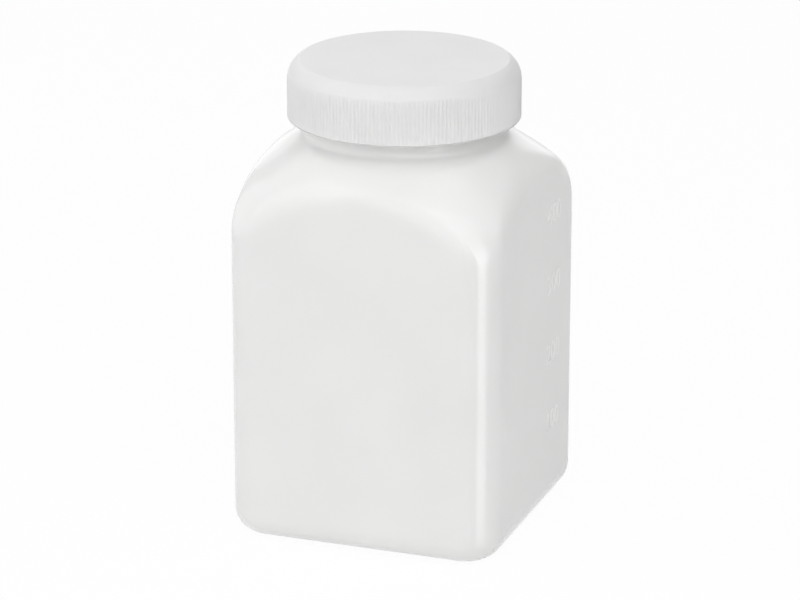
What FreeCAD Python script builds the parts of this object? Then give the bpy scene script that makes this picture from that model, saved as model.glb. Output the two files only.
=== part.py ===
import FreeCAD, Part
import math
import os

# Square reagent bottle with a ribbed screw cap, in millimetres, +Z up, standing on z = 0.
# The face that carries the volume numbers looks along +X, the wide view is from -Y.

# Bottle body, blow-moulded with an even wall
body_width = 75.0
body_corner_radius = 10.5
body_wall = 1.2
base_wall = 1.6
base_edge_radius = 7.0

# Push-up in the base, which leaves a standing rim round it
base_rim_width = 3.0
push_up_depth = 2.2
push_up_slope = 50.0

# Shoulder: a dome that rounds over from the corners, then a straight cone up to the neck
shoulder_start = 78.4
shoulder_round = 24.0
shoulder_slope = 55.3
shoulder_overhang = 0.45

# Neck
neck_diameter = 53.8
neck_wall = 1.9
neck_height = 15.75

# Screw cap, which screws down until the sealing disc sits on the lip
cap_rim_gap = 6.1
cap_wall = 2.2
cap_top_thickness = 2.0
cap_shoulder_radius = 4.6
cap_shoulder_lean = 30.0
cap_corner_least_wall = 0.6
cap_edge_chamfer = 0.4
thread_room = 1.5

# Ribs on the skirt, between a plain band at its rim and the round of the shoulder
rib_count = 180
rib_depth = 0.4
rib_setback = 0.06
rib_plain_band = 1.3
rib_overrun = 1.0

# Sealing disc, held in the cap by a bead on the skirt's inside
disc_thickness = 1.2
disc_side_clearance = 0.35
bead_height = 0.8
bead_disc_gap = 0.3
bead_neck_clearance = 0.5

UP = FreeCAD.Vector(0, 0, 1)
ORIGIN = FreeCAD.Vector(0, 0, 0)

slope = math.radians(shoulder_slope)
neck_radius = neck_diameter / 2
mouth_radius = neck_radius - neck_wall
base_edge = min(base_edge_radius, 0.9 * body_corner_radius)


def point(radius, height):
    return FreeCAD.Vector(radius, 0, height)


def turned(start, *legs):
    """Turns an outline about the bottle's axis. A leg is one point for a line or two for an arc."""
    edges = []
    last = start
    for leg in legs:
        if len(leg) == 1:
            edges.append(Part.LineSegment(last, leg[0]))
        else:
            edges.append(Part.Arc(last, leg[0], leg[1]))
        last = leg[-1]
    edges.append(Part.LineSegment(last, start))
    wire = Part.Wire([edge.toShape() for edge in edges])
    return Part.Face(wire).revolve(ORIGIN, UP, 360)


def rounded_square(width, corner, height):
    """A level square wire with round corners, centred on the axis."""
    flat = width / 2 - corner
    diagonal = corner / math.sqrt(2)
    edges = []
    for quarter in range(4):
        turn = FreeCAD.Rotation(UP, 90 * quarter)
        side = [
            FreeCAD.Vector(flat + corner, -flat, height),
            FreeCAD.Vector(flat + corner, flat, height),
            FreeCAD.Vector(flat + diagonal, flat + diagonal, height),
            FreeCAD.Vector(flat, flat + corner, height),
        ]
        side = [turn.multVec(corner_point) for corner_point in side]
        edges.append(Part.LineSegment(side[0], side[1]).toShape())
        edges.append(Part.Arc(side[1], side[2], side[3]).toShape())
    return Part.Wire(edges)


def dome_point(inset, angle):
    """A point on the dome's arc, which starts upright just outside the body's corners."""
    corner_reach = (body_width / 2 - body_corner_radius) * math.sqrt(2) + body_corner_radius
    centre = corner_reach + shoulder_overhang - shoulder_round
    arc_radius = shoulder_round - inset
    return point(centre + arc_radius * math.cos(angle), shoulder_start + arc_radius * math.sin(angle))


def cone_point(inset, radius):
    """The point at this radius on the straight cone that follows the dome."""
    start = dome_point(inset, slope)
    return point(radius, start.z + (start.x - radius) / math.tan(slope))


def bottle_form(inset, radius, floor, top):
    """Square body cut to arches by the turned dome, cone and neck. The inset gives the hollow's form."""
    square = rounded_square(body_width - 2 * inset, body_corner_radius - inset, floor)
    prism = Part.Face(square).extrude(UP * (top - floor))
    dome_middle = dome_point(inset, slope / 2)
    dome_end = dome_point(inset, slope)
    # Inside, two plain cones follow the dome, so the shoulder's wall is a little thicker, as moulded ones are.
    dome_legs = [[dome_middle], [dome_end]] if inset else [[dome_middle, dome_end]]
    lathe = turned(
        point(0, floor),
        [point(dome_point(inset, 0).x, floor)],
        [dome_point(inset, 0)],
        *dome_legs,
        [cone_point(inset, radius)],
        [point(radius, top)],
        [point(0, top)],
    )
    return prism.common(lathe)


def foot_edges(shape):
    """Edges round the flat bottom."""
    floor = shape.BoundBox.ZMin
    return [edge for edge in shape.Edges if edge.BoundBox.ZMax < floor + 0.001]


def push_up(grow, depth):
    """Raised panel in the base with sloping sides. It grows to leave the wall over the recess."""
    run = depth / math.tan(math.radians(push_up_slope))
    wide = body_width - 2 * (base_edge + base_rim_width - grow)
    lower = rounded_square(wide, body_corner_radius, 0)
    upper = rounded_square(wide - 2 * run, body_corner_radius - run, depth)
    return Part.makeLoft([lower, upper], True, True)


def ribbed_sleeve(crest, low, high):
    """Star-shaped prism whose points are the skirt's ribs."""
    star = []
    for step in range(2 * rib_count):
        radius = crest - rib_depth * (step % 2)
        angle = math.pi * step / rib_count
        star.append(FreeCAD.Vector(radius * math.cos(angle), radius * math.sin(angle), low))
    star.append(star[0])
    return Part.Face(Part.makePolygon(star)).extrude(UP * (high - low))


lip = cone_point(0, neck_radius).z + neck_height

outside = bottle_form(0, neck_radius, 0, lip)
outside = outside.makeFillet(base_edge, foot_edges(outside))
hollow = bottle_form(body_wall, mouth_radius, base_wall, lip + neck_wall)
hollow = hollow.makeChamfer((base_edge - body_wall) * math.sqrt(0.5), foot_edges(hollow))
hollow = hollow.cut(push_up(body_wall, push_up_depth + base_wall))
bottle = outside.cut(hollow).cut(push_up(0, push_up_depth))

# The disc lies on the lip and the cap's top lies on the disc.
skirt_inside = neck_radius + thread_room
cap_radius = skirt_inside + cap_wall
skirt_radius = cap_radius - rib_depth - rib_setback
disc_top = lip + disc_thickness
cap_top = disc_top + cap_top_thickness
cap_bottom = cone_point(0, cap_radius).z + cap_rim_gap
band_top = cap_bottom + rib_plain_band

# The shoulder's round is as large as the wall at the skirt's inner corner allows.
skirt_wall = skirt_radius - skirt_inside
walls = skirt_wall + cap_top_thickness - cap_corner_least_wall
squares = skirt_wall**2 + cap_top_thickness**2 - cap_corner_least_wall**2
cap_shoulder = min(cap_shoulder_radius, walls + math.sqrt(walls**2 - squares))
lean = math.radians(cap_shoulder_lean)


def cap_round(angle):
    """A point on the cap's shoulder, from upright at the skirt to level at the top."""
    height = cap_top - cap_shoulder * (1 - math.sin(angle))
    return point(skirt_radius - cap_shoulder * (1 - math.cos(angle)), height)


bead_top = lip - bead_disc_gap
blank = turned(
    point(skirt_inside, cap_bottom),
    [point(cap_radius - cap_edge_chamfer, cap_bottom)],
    [point(cap_radius, cap_bottom + cap_edge_chamfer)],
    [point(cap_radius, band_top)],
    [point(skirt_radius, band_top)],
    [cap_round(0)],
    [cap_round(lean)],
    [cap_round((lean + math.pi / 2) / 2), cap_round(math.pi / 2)],
    [point(0, cap_top)],
    [point(0, disc_top)],
    [point(skirt_inside, disc_top)],
    [point(skirt_inside, bead_top)],
    [point(neck_radius + bead_neck_clearance, bead_top)],
    [point(skirt_inside, bead_top - bead_height)],
)
ribs = ribbed_sleeve(cap_radius, band_top, cap_round(0).z + rib_overrun)
ribs = ribs.cut(Part.makeCylinder(skirt_radius - rib_setback, lip, point(0, band_top), UP))
screw_cap = blank.fuse(ribs)

sealing_disc = Part.makeCylinder(skirt_inside - disc_side_clearance, disc_thickness, point(0, lip), UP)

os.makedirs("parts", exist_ok=True)
for name, shape in (("bottle", bottle), ("screw_cap", screw_cap), ("sealing_disc", sealing_disc)):
    solid = shape.Solids[0]
    print(name, solid.isValid(), round(solid.Volume, 1), solid.BoundBox)
    solid.exportStep("parts/" + name + ".step")
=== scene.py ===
import math

import bmesh
import bpy
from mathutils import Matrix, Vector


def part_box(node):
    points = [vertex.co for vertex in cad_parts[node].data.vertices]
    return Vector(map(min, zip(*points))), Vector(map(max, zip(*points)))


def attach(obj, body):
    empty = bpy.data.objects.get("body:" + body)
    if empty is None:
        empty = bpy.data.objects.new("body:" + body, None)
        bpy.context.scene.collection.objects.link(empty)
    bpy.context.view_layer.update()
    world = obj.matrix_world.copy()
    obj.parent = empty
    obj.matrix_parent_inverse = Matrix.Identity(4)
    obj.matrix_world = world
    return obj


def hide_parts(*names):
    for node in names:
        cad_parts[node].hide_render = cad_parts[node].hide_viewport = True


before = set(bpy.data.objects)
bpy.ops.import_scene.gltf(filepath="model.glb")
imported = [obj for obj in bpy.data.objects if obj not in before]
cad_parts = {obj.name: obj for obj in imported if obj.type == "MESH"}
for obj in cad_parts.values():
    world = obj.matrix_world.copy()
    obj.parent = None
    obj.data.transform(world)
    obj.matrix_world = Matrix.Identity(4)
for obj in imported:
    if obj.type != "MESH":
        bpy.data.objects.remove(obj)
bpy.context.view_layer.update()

# Square reagent bottle with a ribbed screw cap. Its sizes are in millimetres, the studio's in metres.
MM = 0.001

# Bottle, with the sizes of the frame
BODY_HALF = 37.5
BODY_CORNER = 10.5
BODY_WALL = 1.2
BASE_EDGE = 7.0
BASE_WALL = 1.6
STANDING_RIM = 3.0
PUSH_UP = 2.2
PUSH_UP_RUN = 1.85
DOME_START = 78.4
DOME_ROUND = 24.0
DOME_SLOPE = math.radians(55.3)
DOME_OVERHANG = 0.45
NECK_RADIUS = 26.9
MOUTH_RADIUS = 25.0
NECK_ROOT = 2.5
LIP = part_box("bottle")[1].z / MM
LIP_ROUND = 0.5
CORNER_REACH = (BODY_HALF - BODY_CORNER) * math.sqrt(2) + BODY_CORNER
DOME_CENTRE = CORNER_REACH + DOME_OVERHANG - DOME_ROUND

# Soft edges of the bottle. Below its start the dome's form flares, so that it stays clear of the flat sides.
DOME_FLARE = 0.3
ARCH_SOFTNESS = 5.2
ARCH_LEAST_SHARE = 0.03
LEAST_CORNER = 0.5
PUSH_UP_TOP_IN = 1.0
PUSH_UP_TOP_DOWN = 0.15
PUSH_UP_FOOT_IN = 0.2
PUSH_UP_FOOT_UP = 0.25
STANDING_RIM_OUT = 0.4
INNER_FOOT_IN = 1.0
INNER_NECK_UP = 0.6
INNER_NECK_DOWN = 0.3

# Volume numbers, raised on the +X face. The body stands back by their relief, so they stay in its box.
NUMBER_RELIEF = 0.15
NUMBER_HEIGHT = 5.6
NUMBER_SIDE = 13.4
NUMBER_BEVEL = 0.05
NUMBER_THINNING = 0.02
NUMBERS = {"100": 24.9, "200": 44.3, "300": 63.6, "400": 82.9}
FONT_SIZE_PER_DIGIT_HEIGHT = 1.37

# Cap
CAP_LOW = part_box("screw_cap")[0].z / MM
CAP_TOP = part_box("screw_cap")[1].z / MM
CAP_RADIUS = 30.6
CAP_ROUND = 6.0
CAP_ROUND_END = 60
CAP_RIM = 0.5
CAP_RIM_LINE = 0.3
CAP_BAND = 0.6
CAP_BAND_LINE = 0.25
CAP_EDGE = 0.4
CAP_EDGE_START = -60
CAP_INSIDE = 28.4
CAP_INSIDE_EDGE = 0.05
CAP_INSIDE_FLAT = 25.5
RIB_COUNT = 180
RIB_DEPTH = 0.36
RIB_RUN_IN = 0.35
DISC_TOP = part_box("sealing_disc")[1].z / MM
BEAD_INSIDE = 27.4
BEAD_DISC_GAP = 0.3
BEAD_TOP = LIP - BEAD_DISC_GAP
BEAD_HEIGHT = 0.8
BEAD_EDGE = 0.1

# Thread. It sinks a little into the neck or the skirt, and fades out over a share of its length at each end.
THREAD_LEAD = 5.0
THREAD_TURNS = 1.25
THREAD_DEPTH = 8.4
THREAD_LOW = LIP - THREAD_DEPTH
THREAD_WIDTH = 1.7
THREAD_FLAT_SHARE = 0.44
THREAD_SINK = 0.2
THREAD_FADE = 0.125
NECK_THREAD_CREST = 28.05
CAP_THREAD_CREST = 27.3

# How finely the round stretches are divided
BOTTLE_AROUND = 320
CAP_AROUND = 4 * RIB_COUNT
BASE_STEPS = 12
BODY_STEPS = 8
SHOULDER_STEPS = 56
NECK_ROOT_STEPS = 6
LIP_STEPS = 4
INNER_SHOULDER_STEPS = 28
CAP_EDGE_STEPS = 3
RIB_STEPS = 6
CAP_ROUND_STEPS = 20
CAP_RIM_STEPS = 5
THREAD_STEPS_PER_TURN = 72
RING_GAP = 1.0
MEETING_TOLERANCE = 0.001

# Spread of tone and gloss over a plastic
TONE_STOPS = (0.3, 0.7)
GLOSS_SPREAD = 0.15

# Studio
WHITE = (1.0, 1.0, 1.0, 1.0)
ROOM_LIGHT = 0.03
FLOOR_REACH = 4.0
FLOOR_WHITE_SHARE = 0.96
PAPER_FIBRE = 3.0
BOTTLE_MIDDLE = 0.06
SOFTBOX_WIDTH = 1.0
BOUNCE_WIDTH = 0.12
BOUNCE_POWER = 0.005
BOUNCE_PLACE = (0.12, 0.0, 0.002)
STRIP_AZIMUTH = math.radians(60)
STRIP_DISTANCE = 0.015
STRIP_WIDTH = 0.010
STRIP_HEIGHT = 0.100
STRIP_FLOOR_GAP = 0.001
STRIP_POWER = 0.0019
STRIP_SPREAD = math.radians(70)
STRIP_CORNER = (BODY_HALF - BODY_CORNER + BODY_CORNER / math.sqrt(2)) * MM

# Camera, which stands to the right of the wide face, looks down on the shoulder and pans a little to the left
CAMERA_AZIMUTH = 19.916
CAMERA_DISTANCE = 0.975
CAMERA_HEIGHT = 0.3917
CAMERA_PITCH = 18.858
CAMERA_PAN = 0.066
CAMERA_LENS = 174.44
CAMERA_SENSOR = 36.0


def linear(code):
    """An sRGB hex colour as linear RGBA."""
    values = []
    for start in (1, 3, 5):
        share = int(code[start : start + 2], 16) / 255
        values.append(share / 12.92 if share <= 0.04045 else ((share + 0.055) / 1.055) ** 2.4)
    return (*values, 1.0)


def node(tree, kind, links=None, **settings):
    """Adds a shader node. Settings are its properties or sockets, links go from sockets into it."""
    made = tree.nodes.new(kind)
    for name, value in settings.items():
        if hasattr(made, name):
            setattr(made, name, value)
        else:
            made.inputs[name.replace("_", " ")].default_value = value
    for name, source in (links or {}).items():
        tree.links.new(source, made.inputs[name])
    return made


def empty_material(name):
    """A material without nodes, and its tree."""
    material = bpy.data.materials.new(name)
    material.use_nodes = True
    material.node_tree.nodes.clear()
    return material, material.node_tree


def plastic(name, pale, deep, roughness, wave_mm, wave_depth_mm, grain_mm, grain_depth_mm, glow):
    """A moulded plastic: a slow wave of the wall, a fine mould grain and a little light in its depth.

    The grain is drawn coarser than a real mould's, so that it shows in the render.
    """
    material, tree = empty_material(name)
    place = node(tree, "ShaderNodeTexCoord").outputs["Object"]
    wave = node(tree, "ShaderNodeTexNoise", {"Vector": place}, Scale=1 / (wave_mm * MM), Detail=1.0)
    grain = node(tree, "ShaderNodeTexNoise", {"Vector": place}, Scale=1 / (grain_mm * MM), Detail=2.0)
    tone = node(tree, "ShaderNodeValToRGB", {"Fac": wave.outputs["Fac"]})
    for stop, position, colour in zip(tone.color_ramp.elements, TONE_STOPS, (deep, pale)):
        stop.position = position
        stop.color = linear(colour)
    gloss = node(
        tree, "ShaderNodeMapRange", {"Value": grain.outputs["Fac"]},
        To_Min=roughness * (1 - GLOSS_SPREAD), To_Max=roughness * (1 + GLOSS_SPREAD),
    )
    slow = node(
        tree, "ShaderNodeBump", {"Height": wave.outputs["Fac"]},
        Strength=1.0, Distance=wave_depth_mm * MM,
    )
    fine = node(
        tree, "ShaderNodeBump", {"Height": grain.outputs["Fac"], "Normal": slow.outputs["Normal"]},
        Strength=1.0, Distance=grain_depth_mm * MM,
    )
    shader = node(
        tree, "ShaderNodeBsdfPrincipled",
        {
            "Base Color": tone.outputs["Color"],
            "Roughness": gloss.outputs["Result"],
            "Normal": fine.outputs["Normal"],
        },
        IOR=1.5, Subsurface_Weight=glow, Subsurface_Radius=(1.0, 1.0, 0.95), Subsurface_Scale=1.5 * MM,
    )
    node(tree, "ShaderNodeOutputMaterial", {"Surface": shader.outputs["BSDF"]})
    return material


def finished_piece(name, mesh, body, material, stands_for=None):
    """Puts a mesh into the scene as a piece of the object."""
    piece = bpy.data.objects.new(name, mesh)
    bpy.context.scene.collection.objects.link(piece)
    mesh.materials.append(material)
    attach(piece, body)
    if stands_for:
        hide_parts(stands_for)


def join_rows(shape, rows):
    """Faces from each closed row of vertices to the next."""
    for lower, upper in zip(rows, rows[1:]):
        for step in range(len(lower)):
            after = (step + 1) % len(lower)
            shape.faces.new((lower[step], lower[after], upper[after], upper[step]))


def smooth_mesh(name, shape):
    """A smooth mesh of the shape, with its faces turned outward."""
    bmesh.ops.recalc_face_normals(shape, faces=shape.faces)
    mesh = bpy.data.meshes.new(name)
    shape.to_mesh(mesh)
    shape.free()
    mesh.shade_smooth()
    return mesh


def ringed_mesh(name, rings, count):
    """A closed skin over rings about the axis. A ring is a radius for each direction and a height."""
    shape = bmesh.new()
    rows = []
    for radius_at, height in rings:
        row = []
        for step in range(count):
            angle = 2 * math.pi * step / count
            radius = radius_at(angle) * MM
            row.append(shape.verts.new((radius * math.cos(angle), radius * math.sin(angle), height * MM)))
        rows.append(row)
    join_rows(shape, rows)
    for row, (_, height) in ((rows[0], rings[0]), (rows[-1], rings[-1])):
        middle = shape.verts.new((0, 0, height * MM))
        for step in range(count):
            shape.faces.new((middle, row[step], row[(step + 1) % count]))
    return smooth_mesh(name, shape)


def square_radius(angle, half, corner):
    """How far a square with round corners reaches in this direction."""
    along = max(abs(math.cos(angle)), abs(math.sin(angle)))
    across = min(abs(math.cos(angle)), abs(math.sin(angle)))
    flat = half - corner
    if half * across / along <= flat:
        return half / along
    middle = flat * (along + across)
    return middle + math.sqrt(middle**2 - 2 * flat**2 + corner**2)


def dome_radius(height, inset):
    """Radius of the turned dome and of the cone after it."""
    arc = DOME_ROUND - inset
    rise = height - DOME_START
    arc_rise = arc * math.sin(DOME_SLOPE)
    if rise < 0:
        return DOME_CENTRE + arc - DOME_FLARE * rise
    if rise < arc_rise:
        return DOME_CENTRE + math.sqrt(arc**2 - rise**2)
    return DOME_CENTRE + arc * math.cos(DOME_SLOPE) - (rise - arc_rise) * math.tan(DOME_SLOPE)


def arch_softness(angle):
    """How broadly the arch edge is rounded: fully over the flat sides, hardly at all on the corners."""
    reach = square_radius(angle, BODY_HALF, BODY_CORNER)
    along = reach * max(abs(math.cos(angle)), abs(math.sin(angle)))
    across = reach * min(abs(math.cos(angle)), abs(math.sin(angle)))
    flat = BODY_HALF - BODY_CORNER
    radial = math.atan2(across, along)
    wall = math.atan2(max(across - flat, 0), along - flat)
    lean = min(math.acos(min((reach - DOME_CENTRE) / DOME_ROUND, 1)), DOME_SLOPE)
    return ARCH_SOFTNESS * max((lean**2 + (radial - wall) ** 2) / DOME_SLOPE**2, ARCH_LEAST_SHARE)


def softly_least(first, second, softness):
    """The smaller of two radii, with the edge between them rounded."""
    blend = max(softness - abs(first - second), 0) / softness
    return min(first, second) - blend**2 * softness / 4


def wall_ring(height, inset, edge=0.0):
    """A ring round the body or shoulder. The edge draws it in over the base's round."""
    half = BODY_HALF - NUMBER_RELIEF - inset - edge
    corner = max(BODY_CORNER - NUMBER_RELIEF - inset - edge, LEAST_CORNER)
    dome = dome_radius(height, inset) - NUMBER_RELIEF

    def radius_at(angle):
        return softly_least(square_radius(angle, half, corner), dome, arch_softness(angle))

    return radius_at, height


def round_ring(radius, height):
    """A circle about the axis."""
    return (lambda angle: radius), height


def arc_rings(centre_radius, centre_height, radius, start, end, steps):
    """Circles along an arc of the profile, with its angles in degrees from the outward direction."""
    rings = []
    for degrees in spread(start, end, steps):
        angle = math.radians(degrees)
        ring_radius = centre_radius + radius * math.cos(angle)
        rings.append(round_ring(ring_radius, centre_height + radius * math.sin(angle)))
    return rings


def spread(first, last, steps):
    """Evenly spaced values from the first to the last."""
    return [first + (last - first) * step / steps for step in range(steps + 1)]


def neck_meeting(inset, radius):
    """Height at which the cone comes in to this radius."""
    low, high = DOME_START, LIP
    while high - low > MEETING_TOLERANCE:
        middle = (low + high) / 2
        if dome_radius(middle, inset) - NUMBER_RELIEF > radius:
            low = middle
        else:
            high = middle
    return low


def base_rings():
    """The push-up, the rim that the bottle stands on and the round up to the walls."""
    foot = BASE_EDGE + STANDING_RIM
    rings = [
        wall_ring(PUSH_UP, 0, foot + PUSH_UP_RUN + PUSH_UP_TOP_IN),
        wall_ring(PUSH_UP - PUSH_UP_TOP_DOWN, 0, foot + PUSH_UP_RUN),
        wall_ring(PUSH_UP_FOOT_UP, 0, foot + PUSH_UP_FOOT_IN),
        wall_ring(0.0, 0, foot - STANDING_RIM_OUT),
    ]
    for angle in spread(0, math.pi / 2, BASE_STEPS):
        rings.append(wall_ring(BASE_EDGE * (1 - math.cos(angle)), 0, BASE_EDGE * (1 - math.sin(angle))))
    return rings


def bottle_mesh():
    """The blow-moulded bottle, from the push-up up over the outside and down the inside."""
    meeting = neck_meeting(0, NECK_RADIUS)
    setback = NECK_ROOT * math.tan(DOME_SLOPE / 2)
    cone_end = meeting - setback * math.cos(DOME_SLOPE)
    cone_facing = 180 + math.degrees(DOME_SLOPE)
    rings = base_rings()
    body = spread(BASE_EDGE + RING_GAP, DOME_START - 2 * RING_GAP, BODY_STEPS)
    shoulder = spread(DOME_START - RING_GAP, cone_end, SHOULDER_STEPS)
    rings += [wall_ring(height, 0) for height in body + shoulder]
    root = arc_rings(NECK_RADIUS + NECK_ROOT, meeting + setback, NECK_ROOT, cone_facing, 180, NECK_ROOT_STEPS)
    rings += root[1:]
    rings += arc_rings(NECK_RADIUS - LIP_ROUND, LIP - LIP_ROUND, LIP_ROUND, 0, 90, LIP_STEPS)
    rings += arc_rings(MOUTH_RADIUS + LIP_ROUND, LIP - LIP_ROUND, LIP_ROUND, 90, 180, LIP_STEPS)

    inner_meeting = neck_meeting(BODY_WALL, MOUTH_RADIUS)
    inner_shoulder = spread(inner_meeting - INNER_NECK_DOWN, DOME_START, INNER_SHOULDER_STEPS)
    rings.append(round_ring(MOUTH_RADIUS, inner_meeting + INNER_NECK_UP))
    rings += [wall_ring(height, BODY_WALL) for height in inner_shoulder]
    rings.append(wall_ring(BASE_EDGE, BODY_WALL))
    rings.append(wall_ring(BASE_EDGE / 2, BODY_WALL, INNER_FOOT_IN))
    rings.append(wall_ring(PUSH_UP + BASE_WALL, BODY_WALL, BASE_EDGE))
    return ringed_mesh("bottle_moulding", rings, BOTTLE_AROUND)


def ribbed(radius, depth):
    """A ring's radius with the skirt's ribs, which are soft waves."""
    return lambda angle: radius - depth * (0.5 - 0.5 * math.cos(RIB_COUNT * angle))


def cap_mesh():
    """The moulded cap, from its hollow over the bead, round the skirt's edge and up to the rim and top."""
    rings = [
        round_ring(CAP_INSIDE_FLAT, DISC_TOP),
        round_ring(CAP_INSIDE - CAP_INSIDE_EDGE, DISC_TOP),
        round_ring(CAP_INSIDE, DISC_TOP - CAP_INSIDE_EDGE),
        round_ring(CAP_INSIDE, BEAD_TOP),
        round_ring(BEAD_INSIDE + BEAD_EDGE, BEAD_TOP),
        round_ring(BEAD_INSIDE, BEAD_TOP - BEAD_EDGE),
        round_ring(CAP_INSIDE, BEAD_TOP - BEAD_HEIGHT),
        round_ring(CAP_INSIDE, CAP_LOW),
        round_ring(CAP_RADIUS - CAP_EDGE, CAP_LOW),
    ]
    edge_height = CAP_LOW + CAP_EDGE
    rings += arc_rings(CAP_RADIUS - CAP_EDGE, edge_height, CAP_EDGE, CAP_EDGE_START, 0, CAP_EDGE_STEPS)
    band = CAP_LOW + CAP_BAND
    rings += [round_ring(CAP_RADIUS, band - CAP_BAND_LINE), round_ring(CAP_RADIUS, band)]

    # The ribs run out on the shoulder's round, which ends at a crisp rim round the flat top.
    centre = CAP_RADIUS - CAP_ROUND
    round_end = math.radians(CAP_ROUND_END)
    shoulder = CAP_TOP - CAP_RIM - (CAP_ROUND - CAP_RIM) * math.sin(round_end)
    valley = CAP_RADIUS - RIB_DEPTH
    skirt = spread(band + RIB_RUN_IN, shoulder, RIB_STEPS)
    rings += [(ribbed(CAP_RADIUS, RIB_DEPTH), height) for height in skirt]
    for angle in spread(0, round_end, CAP_ROUND_STEPS)[1:]:
        radius = centre + CAP_ROUND * math.cos(angle)
        rings.append((ribbed(radius, max(radius - valley, 0)), shoulder + CAP_ROUND * math.sin(angle)))
    rim = centre + (CAP_ROUND - CAP_RIM) * math.cos(round_end)
    rings += arc_rings(rim, CAP_TOP - CAP_RIM, CAP_RIM, CAP_ROUND_END, 90, CAP_RIM_STEPS)[1:]
    rings.append(round_ring(rim - CAP_RIM_LINE, CAP_TOP))
    return ringed_mesh("cap_moulding", rings, CAP_AROUND)


def thread_mesh(name, root, crest, low):
    """A right-handed screw ridge that fades out at both ends."""
    shape = bmesh.new()
    steps = int(THREAD_STEPS_PER_TURN * THREAD_TURNS)
    foot = root - math.copysign(THREAD_SINK, crest - root)
    foot_half = THREAD_WIDTH / 2
    flat_half = THREAD_WIDTH * THREAD_FLAT_SHARE / 2
    rows = []
    for step in range(steps + 1):
        turns = THREAD_TURNS * step / steps
        angle = 2 * math.pi * turns
        height = low + THREAD_LEAD * turns
        fade = min(1.0, min(step, steps - step) / (THREAD_FADE * steps))
        peak = root + (crest - root) * fade
        row = []
        for radius, rise in ((foot, -foot_half), (peak, -flat_half), (peak, flat_half), (foot, foot_half)):
            across = (radius * MM * math.cos(angle), radius * MM * math.sin(angle))
            row.append(shape.verts.new((*across, (height + rise) * MM)))
        rows.append(row)
    join_rows(shape, rows)
    shape.faces.new(rows[0])
    shape.faces.new(rows[-1])
    return smooth_mesh(name, shape)


def number_mesh(name, text, height):
    """Raised digits on the +X face."""
    curve = bpy.data.curves.new(name, "FONT")
    curve.body = text
    curve.align_x = "CENTER"
    curve.align_y = "CENTER"
    curve.size = NUMBER_HEIGHT * FONT_SIZE_PER_DIGIT_HEIGHT * MM
    curve.extrude = NUMBER_RELIEF * MM
    curve.bevel_depth = NUMBER_BEVEL * MM
    curve.offset = -NUMBER_THINNING * MM
    writing = bpy.data.objects.new(name + "_writing", curve)
    bpy.context.scene.collection.objects.link(writing)
    bpy.context.view_layer.update()
    shown = writing.evaluated_get(bpy.context.evaluated_depsgraph_get())
    mesh = bpy.data.meshes.new_from_object(shown)
    bpy.data.objects.remove(writing)
    wall = (BODY_HALF - NUMBER_RELIEF) * MM
    for vertex in mesh.vertices:
        across, up, out = vertex.co
        vertex.co = (wall + min(out, NUMBER_RELIEF * MM), NUMBER_SIDE * MM + across, height * MM + up)
    return mesh


# Blow-moulded natural polyethylene: milky, with a soft gloss, a slow wave in the wall and light in its depth.
polyethylene = plastic(
    "polyethylene_blow_moulded", "#F1F1F0", "#EEEEED", roughness=0.16,
    wave_mm=26, wave_depth_mm=0.05, grain_mm=0.35, grain_depth_mm=0.002, glow=0.3,
)
# The raised numbers and the thread: glossier than the wall, where the mould is polished, and painted paler
# than it, a painted highlight for the light that raised marks catch.
relief = plastic(
    "polyethylene_relief_painted_highlight", "#F7F7F6", "#F4F4F3", roughness=0.14,
    wave_mm=26, wave_depth_mm=0.02, grain_mm=0.35, grain_depth_mm=0.001, glow=0.0,
)
# Injection-moulded polypropylene: a shade greyer than the bottle and much duller, with a fine spark grain.
polypropylene = plastic(
    "polypropylene_injection_moulded", "#EAEAEA", "#E7E7E7", roughness=0.58,
    wave_mm=20, wave_depth_mm=0.02, grain_mm=0.3, grain_depth_mm=0.004, glow=0.3,
)
# Expanded polyethylene sheet: soft matt foam with fine cells.
foam = plastic(
    "polyethylene_foam_sheet", "#F0F0EC", "#E6E6E1", roughness=0.85,
    wave_mm=4, wave_depth_mm=0.05, grain_mm=0.5, grain_depth_mm=0.05, glow=0.2,
)

finished_piece("bottle_moulding", bottle_mesh(), "bottle", polyethylene, "bottle")
finished_piece("cap_moulding", cap_mesh(), "cap", polypropylene, "screw_cap")
for text, height in NUMBERS.items():
    digits = number_mesh("number_" + text, text, height)
    finished_piece("number_" + text, digits, "bottle", relief)
neck_thread = thread_mesh("neck_thread", NECK_RADIUS, NECK_THREAD_CREST, THREAD_LOW)
finished_piece("neck_thread", neck_thread, "bottle", relief)
# The cap's thread runs half a lead lower, in the gap between the turns of the neck's.
cap_thread = thread_mesh("cap_thread", CAP_INSIDE, CAP_THREAD_CREST, THREAD_LOW - THREAD_LEAD / 2)
finished_piece("cap_thread", cap_thread, "cap", polypropylene)

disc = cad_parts["sealing_disc"]
disc.data.materials.clear()
disc.data.materials.append(foam)


def seen_directly(tree):
    """One where the camera looks at a thing itself, in a reflection or through clear plastic."""
    rays = node(tree, "ShaderNodeLightPath").outputs
    seen = rays["Is Camera Ray"]
    for ray in ("Is Glossy Ray", "Is Transmission Ray"):
        seen = node(tree, "ShaderNodeMath", {0: seen, 1: rays[ray]}, operation="MAXIMUM").outputs[0]
    return seen


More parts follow.
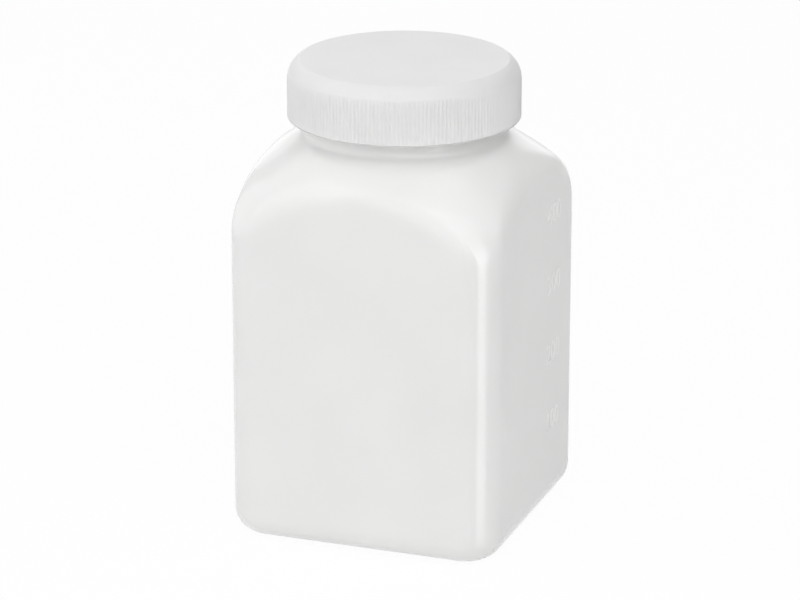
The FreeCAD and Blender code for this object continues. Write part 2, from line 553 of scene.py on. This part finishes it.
def floor_material():
    """White paper: white to the camera, with the soft shadow of the object on it."""
    material, tree = empty_material("paper_matt")
    place = node(tree, "ShaderNodeTexCoord").outputs["Object"]
    fibre = node(tree, "ShaderNodeTexNoise", {"Vector": place}, Scale=1 / (PAPER_FIBRE * MM), Detail=2.0)
    tone = node(tree, "ShaderNodeValToRGB", {"Fac": fibre.outputs["Fac"]})
    for stop, colour in zip(tone.color_ramp.elements, ("#F9F9F9", "#FDFDFD")):
        stop.color = linear(colour)
    paper = node(tree, "ShaderNodeBsdfDiffuse", {"Color": tone.outputs["Color"]})
    white = node(tree, "ShaderNodeEmission", Strength=1.0)
    share = node(tree, "ShaderNodeMath", {0: seen_directly(tree)}, operation="MULTIPLY")
    share.inputs[1].default_value = FLOOR_WHITE_SHARE
    both = node(tree, "ShaderNodeMixShader", {0: share.outputs[0], 1: paper.outputs[0], 2: white.outputs[0]})
    node(tree, "ShaderNodeOutputMaterial", {"Surface": both.outputs[0]})
    return material


floor_mesh = bpy.data.meshes.new("floor")
floor_corners = [
    (side * FLOOR_REACH, end * FLOOR_REACH, 0) for side, end in ((-1, -1), (1, -1), (1, 1), (-1, 1))
]
floor_mesh.from_pydata(floor_corners, [], [(0, 1, 2, 3)])
floor_mesh.materials.append(floor_material())
floor = bpy.data.objects.new("floor", floor_mesh)
bpy.context.scene.collection.objects.link(floor)

# A white room: white where it is seen, dim as a light.
world = bpy.data.worlds.new("studio")
bpy.context.scene.world = world
world.use_nodes = True
sky = world.node_tree
sky.nodes.clear()
room = node(sky, "ShaderNodeBackground", Color=WHITE, Strength=ROOM_LIGHT)
backdrop = node(sky, "ShaderNodeBackground", Color=WHITE, Strength=1.0)
behind = node(
    sky, "ShaderNodeMixShader", {0: seen_directly(sky), 1: room.outputs[0], 2: backdrop.outputs[0]}
)
node(sky, "ShaderNodeOutputWorld", {"Surface": behind.outputs[0]})


def panel(name, width, height, power):
    """A flat lamp that shines along its own -Z."""
    light = bpy.data.lights.new(name, "AREA")
    light.shape = "RECTANGLE"
    light.size = width
    light.size_y = height
    light.energy = power
    lamp = bpy.data.objects.new(name, light)
    bpy.context.scene.collection.objects.link(lamp)
    return lamp


def softbox(name, azimuth, elevation, power, distance=1.0):
    """A square softbox that looks at the middle of the bottle. Azimuth 0 is in front, at -Y."""
    lamp = panel(name, SOFTBOX_WIDTH, SOFTBOX_WIDTH, power)
    turn, lift = math.radians(azimuth), math.radians(elevation)
    lamp.location = (
        distance * math.sin(turn) * math.cos(lift),
        -distance * math.cos(turn) * math.cos(lift),
        BOTTLE_MIDDLE + distance * math.sin(lift),
    )
    lamp.rotation_euler = (math.pi / 2 - lift, 0, turn)


# Softboxes all round, strongest in front and close at the left, so that the face with the numbers is darker.
softbox("softbox_left", azimuth=-70, elevation=14, power=2.3, distance=0.5)
softbox("softbox_left_high", azimuth=-60, elevation=42, power=1.4)
softbox("softbox_front", azimuth=15, elevation=14, power=2.45)
softbox("softbox_front_high", azimuth=40, elevation=42, power=3.7)
softbox("softbox_right_high", azimuth=70, elevation=60, power=3.0)
softbox("softbox_back_top", azimuth=180, elevation=70, power=1.2)
softbox("softbox_back", azimuth=-160, elevation=25, power=2.0)

# Light that the table throws back on the foot of the right face
bounce = panel("table_bounce", BOUNCE_WIDTH, BOUNCE_WIDTH, BOUNCE_POWER)
bounce.location = BOUNCE_PLACE
bounce.rotation_euler = (math.pi, 0, 0)

# A narrow strip lamp with a grid, close to the corner, which shows only as the long highlight there
strip = panel("strip_corner", STRIP_WIDTH, STRIP_HEIGHT, STRIP_POWER)
strip.data.spread = STRIP_SPREAD
strip.location = (
    STRIP_CORNER + STRIP_DISTANCE * math.sin(STRIP_AZIMUTH),
    -STRIP_CORNER - STRIP_DISTANCE * math.cos(STRIP_AZIMUTH),
    STRIP_FLOOR_GAP + STRIP_HEIGHT / 2,
)
strip.rotation_euler = (math.pi / 2, 0, STRIP_AZIMUTH)
strip.visible_diffuse = False
strip.visible_camera = False

camera_data = bpy.data.cameras.new("camera")
camera_data.sensor_width = CAMERA_SENSOR
camera_data.lens = CAMERA_LENS
camera = bpy.data.objects.new("camera", camera_data)
bearing = math.radians(CAMERA_AZIMUTH)
camera.location = (CAMERA_DISTANCE * math.sin(bearing), -CAMERA_DISTANCE * math.cos(bearing), CAMERA_HEIGHT)
camera.rotation_euler = (math.radians(90 - CAMERA_PITCH), 0, math.radians(CAMERA_AZIMUTH + CAMERA_PAN))
bpy.context.scene.collection.objects.link(camera)
bpy.context.scene.camera = camera
bpy.context.scene.view_settings.view_transform = "Standard"
